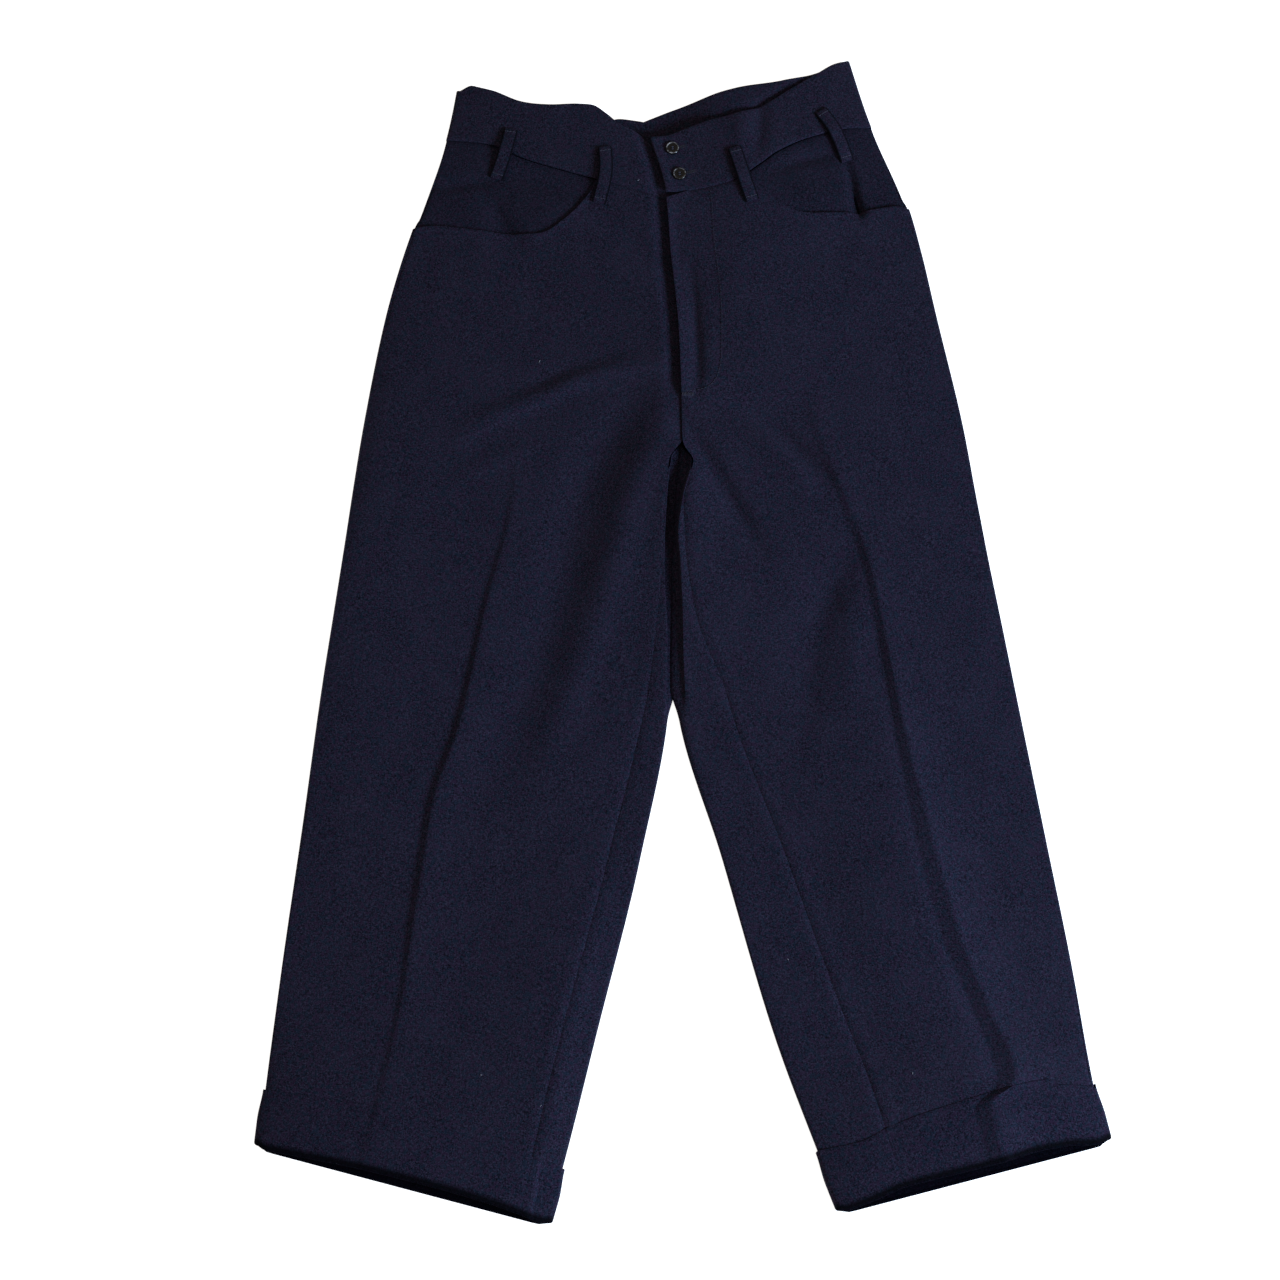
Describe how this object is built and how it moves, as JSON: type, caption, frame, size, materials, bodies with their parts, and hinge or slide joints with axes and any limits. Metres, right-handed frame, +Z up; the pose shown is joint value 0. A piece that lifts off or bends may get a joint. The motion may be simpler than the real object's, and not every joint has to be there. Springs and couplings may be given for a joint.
{
  "type": "cuffed wool slacks laid flat",
  "caption": "Wide straight slacks with turned-up cuffs, curved front pockets, buttoned waistband and belt loops, lying flat on their back.",
  "frame": {"origin": "middle of the outline on the surface the slacks lie on", "axes": "+X to the wearer's left, +Y from the hems to the waist, +Z up from the surface"},
  "size_m": [0.724, 1.1053, 0.0204],
  "materials": {
    "wool": "dark navy wool with a fine open weave, matt",
    "button": "black, polished, four holes"
  },
  "bodies": {
    "root": {"front_right": "wool", "back_right": "wool", "pocket_facing_right": "wool", "waistband_front_right": "wool", "waistband_back_right": "wool", "cuff_front_right": "wool", "cuff_back_right": "wool", "front_left": "wool", "back_left": "wool", "pocket_facing_left": "wool", "waistband_front_left": "wool", "waistband_back_left": "wool", "cuff_front_left": "wool", "cuff_back_left": "wool", "belt_loop_side_right": "wool", "belt_loop_front_right": "wool", "belt_loop_front_left": "wool", "belt_loop_side_left": "wool", "belt_loop_back_right": "wool", "belt_loop_back_centre": "wool", "belt_loop_back_left": "wool", "button_upper": "button", "button_lower": "button"}
  },
  "joints": []
}
